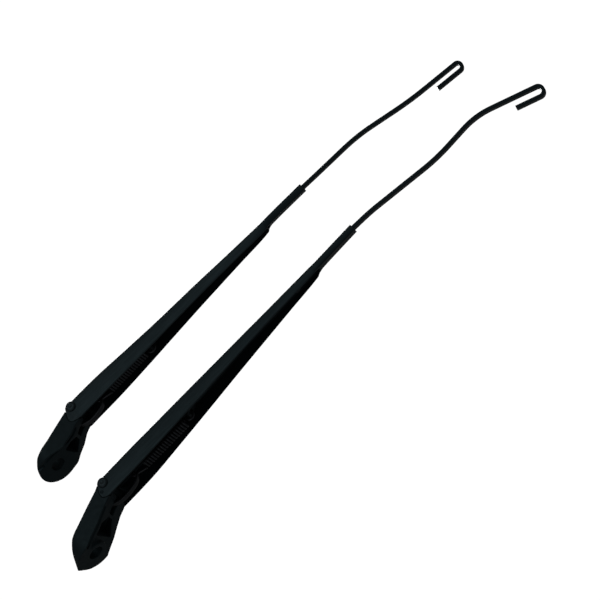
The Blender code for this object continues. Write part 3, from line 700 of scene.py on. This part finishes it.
def make_link(arm, pin_material, material):
    """The link pin, and the strip link curled round it at one end and drilled at the other."""
    name = arm["name"]
    half = tongue_width(arm) / 2 - LINK_PIN_COVER
    radius, chamfer = LINK_PIN_RADIUS, LINK_PIN_CHAMFER
    profile = [(0, half), (radius - chamfer, half), (radius, half - chamfer), (radius, chamfer - half),
               (radius - chamfer, -half), (0, -half)]
    pin = new_object(name + "_chamfered_link_pin", turned_mesh(profile, cross_turn(*arm["link_pin"])), arm)
    finish_piece(pin, pin_material, "heads", name + "_link_pin", angle=30)

    eye = arc(arm["link_pin"], EYE_RADIUS, 20, 255, 36)
    tab_x, tab_z = arm["link_tab"]
    hole_z = arm["link_hole"]
    tab = [(tab_x, hole_z - LINK_TAB_STRAIGHT), (tab_x, hole_z + LINK_TAB_STRAIGHT), (tab_x, tab_z)]
    path = eye[:-1] + smooth_path([eye[-1], *arm["link_dip"], *tab], 10)
    sections = strip_sections(path, LINK_WIDTH, LINK_THICK, LINK_EDGE,
                              lambda x, across, up: (x, across, up))
    link = new_object(name + "_strip_link", loft_mesh(sections), arm)
    bored = Vector((tab_x, 0, hole_z)) * MM
    turn = Matrix.Translation(bored) @ Matrix.Rotation(math.pi / 2, 4, "Y")
    hole = cut(link, cylinder(arm["wire_radius"] + GAP + LINK_HOLE_EASE, 8, turn, 32), arm)
    baked(link, [hole])
    finish_piece(link, material, name + "_link", name + "_spring_link", angle=40)


def spring_path(arm):
    """Middle line of the spring wire: lower loop, coils and upper hook."""
    tab_x, hole_z = arm["link_tab"][0], arm["link_hole"]
    axis, coil = arm["spring_axis"], arm["coil_radius"]
    loop_radius = (arm["link_tab"][1] + arm["wire_radius"] + 0.7 - hole_z) / 2
    loop = arc((tab_x, hole_z + loop_radius), loop_radius, 60, 270, 24)
    lower = [(x, 0.0, z) for x, z in loop] + [(tab_x + 2.5, 0.0, hole_z - 0.2)]
    start, end, turns = arm["coil_from"], arm["coil_to"], arm["coil_turns"]
    steps_per_turn = 28
    count = round(turns * steps_per_turn)
    coils = []
    for k in range(count + 1):
        share = k / count
        angle = -math.pi / 2 + 2 * math.pi * turns * share
        coils.append((start + (end - start) * share, coil * math.cos(angle), axis + coil * math.sin(angle)))
    lead = smooth_path([lower[-1], (start - 1.6, 0.0, axis - coil + 0.1), coils[0]], 5)[1:-1]
    hole_x, hole_top = bar_hole(arm)
    left = end + arm["wire_radius"] + 1.0
    right = hole_x + 1.0
    radius = (right - left) / 2
    middle = (left + radius, hole_top - 2.2)
    hook = [(x, 0.0, z) for x, z in arc(middle, radius, 180, 350, 24)]
    rise = math.radians(arm["bar_rise"])
    exits = [(hole_x - reach * math.sin(rise), 0.0, hole_top + reach * math.cos(rise)) for reach in (0, 2.2)]
    return lower + lead + coils + hook + exits


def make_spring(arm, material):
    """The tension spring: one wire with a loop, close coils and a hook."""
    name = arm["name"]
    spring = new_object(name + "_coil_spring", tube_mesh(spring_path(arm), arm["wire_radius"], 14), arm)
    finish_piece(spring, material, name + "_spring", name + "_spring", angle=50)


def make_rod_rivet(arm, material):
    """The rivet that holds the bar to the channel's back."""
    top, under = BAR_DEPTH + GAP, -BAR_THICK / 2 - GAP
    profile = [(0, top + 0.9)]
    profile += [(2.5 * math.sin(a), top + 0.2 + 0.7 * math.cos(a))
                for a in (math.radians(d) for d in (30, 60, 85))]
    profile += [(2.6, top + 0.15), (2.5, top), (ROD_RIVET_RADIUS, top), (ROD_RIVET_RADIUS, under),
                (2.3, under), (2.4, under - 0.15), (2.2, under - 0.4), (1.2, under - 0.75),
                (0, under - 0.8)]
    rivet = new_object(arm["name"] + "_domed_rod_rivet", turned_mesh(profile, rod_rivet_turn(arm), 40), arm)
    finish_piece(rivet, material, arm["name"] + "_arm", arm["name"] + "_rod_rivet", angle=40)


# ---- Stage, light and camera -----------------------------------------------------------------------------

FLOOR_DROP = 6.0  # the floor lies this far under the lowest point, in mm
VIEW_PITCH = 33.0  # the camera looks up at the undersides at this angle
VIEW_ROLL = 45.78  # the arms run up to the right at this angle
VIEW_DISTANCE = 3.9  # from the camera to the middle of the view, in metres
VIEW_WIDTH = 0.4656  # width seen at the passenger bore, in metres
BORE_RIGHT, BORE_UP = -0.1874, -0.1276  # passenger bore from the middle of the view, in metres
FLOOR_REACH = 6.0  # half the floor's side, in metres


def camera_axes():
    """Right, up and backward directions of the camera."""
    pitch, roll = math.radians(VIEW_PITCH), math.radians(VIEW_ROLL)
    along = Vector((1, 0, 0))
    across = Vector((0, -math.sin(pitch), math.cos(pitch)))
    back = Vector((0, -math.cos(pitch), -math.sin(pitch)))
    right = along * math.cos(roll) - across * math.sin(roll)
    up = along * math.sin(roll) + across * math.cos(roll)
    return right, up, back


def add_camera():
    """Puts the camera in place and returns the point it looks at."""
    right, up, back = camera_axes()
    data = bpy.data.cameras.new("camera")
    data.sensor_width = 36.0
    data.lens = data.sensor_width * VIEW_DISTANCE / VIEW_WIDTH
    data.clip_end = 20.0
    camera = bpy.data.objects.new("camera", data)
    target = -right * BORE_RIGHT - up * BORE_UP
    turn = Matrix((right, up, back)).transposed().to_4x4()
    camera.matrix_world = Matrix.Translation(target + back * VIEW_DISTANCE) @ turn
    bpy.context.scene.collection.objects.link(camera)
    bpy.context.scene.camera = camera
    return target


def add_floor():
    """Pale floor just under the arms, seen from above only."""
    low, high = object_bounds()
    mesh = bpy.data.meshes.new("floor")
    centre = (low + high) / 2
    corners = [(centre.x + sx * FLOOR_REACH, centre.y + sy * FLOOR_REACH, low.z - FLOOR_DROP * MM)
               for sx, sy in ((-1, -1), (1, -1), (1, 1), (-1, 1))]
    mesh.from_pydata(corners, [], [(0, 1, 2, 3)])
    floor = bpy.data.objects.new("floor", mesh)
    bpy.context.scene.collection.objects.link(floor)
    material = bpy.data.materials.new("pale_floor")
    material.use_nodes = True
    tree = material.node_tree
    shader = tree.nodes["Principled BSDF"]
    shader.inputs["Base Color"].default_value = (0.86, 0.86, 0.86, 1.0)
    shader.inputs["Roughness"].default_value = 0.9
    mix = tree.nodes.new("ShaderNodeMixShader")
    clear = tree.nodes.new("ShaderNodeBsdfTransparent")
    geometry = tree.nodes.new("ShaderNodeNewGeometry")
    tree.links.new(geometry.outputs["Backfacing"], mix.inputs[0])
    tree.links.new(shader.outputs[0], mix.inputs[1])
    tree.links.new(clear.outputs[0], mix.inputs[2])
    tree.links.new(mix.outputs[0], tree.nodes["Material Output"].inputs["Surface"])
    mesh.materials.append(material)
    floor.visible_shadow = False
    floor.visible_diffuse = False
    floor.visible_glossy = False


def add_world(seen, felt):
    """White surroundings, dimmer as a source of light than to the eye."""
    world = bpy.data.worlds.new("studio")
    bpy.context.scene.world = world
    bpy.context.scene.view_settings.view_transform = "Standard"
    world.use_nodes = True
    tree = world.node_tree
    background = tree.nodes["Background"]
    background.inputs["Color"].default_value = (1, 1, 1, 1)
    path = tree.nodes.new("ShaderNodeLightPath")
    strength = tree.nodes.new("ShaderNodeMapRange")
    strength.inputs["To Min"].default_value = felt
    strength.inputs["To Max"].default_value = seen
    tree.links.new(path.outputs["Is Camera Ray"], strength.inputs["Value"])
    tree.links.new(strength.outputs["Result"], background.inputs["Strength"])


def add_light(name, direction, distance, size, power, target):
    """A round soft light, with distance and size in metres and power in watts."""
    data = bpy.data.lights.new(name, "AREA")
    data.shape = "DISK"
    data.size = size
    data.energy = power
    light = bpy.data.objects.new(name, data)
    direction = Vector(direction).normalized()
    light.location = target + direction * distance
    light.rotation_mode = "QUATERNION"
    light.rotation_quaternion = direction.to_track_quat("Z", "Y")
    light.visible_camera = False
    bpy.context.scene.collection.objects.link(light)


# ---- Build -----------------------------------------------------------------------------------------------

CAST = cast_black()
PRESSED = pressed_black()
RIVETS = rivet_black()
STEEL = spring_steel()
NYLON = nylon_black()

for wiper in (PASSENGER, DRIVER):
    make_head(wiper, CAST)
    make_channel(wiper, PRESSED)
    make_rod(wiper, PRESSED)
    make_hinge(wiper, RIVETS, NYLON)
    make_link(wiper, RIVETS, STEEL)
    make_spring(wiper, STEEL)
    make_rod_rivet(wiper, RIVETS)

middle = add_camera()
add_floor()
add_world(seen=1.05, felt=0.085)
camera_right, camera_up, camera_back = camera_axes()
key_side = camera_back * 1.0 - camera_right * 0.5 - camera_up * 0.9
add_light("key", key_side, 1.6, 1.6, 1.5, middle)
add_light("top", (-0.1, 0.9, 1.0), 1.8, 1.2, 30.0, middle)
add_light("rim", (0.3, 0.8, 0.8), 1.8, 1.2, 5.0, middle)
add_light("side", (-0.2, -1.0, 0.35), 1.8, 1.6, 3.5, middle)
